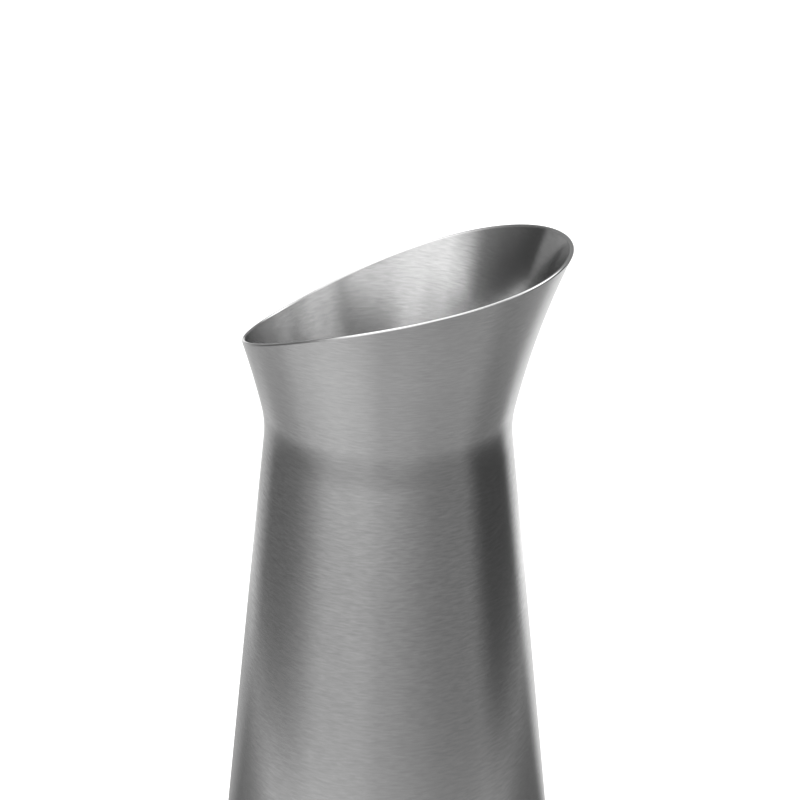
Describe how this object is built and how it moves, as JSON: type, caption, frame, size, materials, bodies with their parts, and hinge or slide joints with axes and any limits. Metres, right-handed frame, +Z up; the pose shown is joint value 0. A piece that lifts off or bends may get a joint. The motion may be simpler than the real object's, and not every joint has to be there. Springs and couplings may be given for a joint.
{
  "type": "thermal carafe",
  "caption": "Open double-walled steel carafe with a tapered body, a narrow neck and a flared mouth whose arched rim rises to a pouring side.",
  "frame": {"origin": "on the axis of the body, at the level of the surface that the carafe stands on", "axes": "+Z up along the axis of the body, +X towards the high, pouring side of the rim"},
  "size_m": [0.1092, 0.1092, 0.2487],
  "materials": {
    "shell_steel": "brushed round the axis",
    "liner_steel": "brushed round the axis",
    "weld_steel": "polished",
    "pressed_steel": "dull, as pressed",
    "foil_copper": "bright copper foil",
    "seal_glass": "fused glass solder",
    "getter_alloy": "sintered",
    "bond": "cured adhesive",
    "cover_steel": "brushed round the axis",
    "foot_silicone": "matt"
  },
  "bodies": {
    "root": {"outer_shell": "shell_steel", "inner_liner": "liner_steel", "rim_weld": "weld_steel", "liner_base": "liner_steel", "foil_wrap": "foil_copper", "foil_disc": "foil_copper", "vacuum_base": "pressed_steel", "exhaust_seal": "seal_glass", "getter_cup": "pressed_steel", "getter_pill": "getter_alloy", "cover_bond": "bond", "base_cover": "cover_steel", "foot_ring": "foot_silicone"}
  },
  "joints": []
}
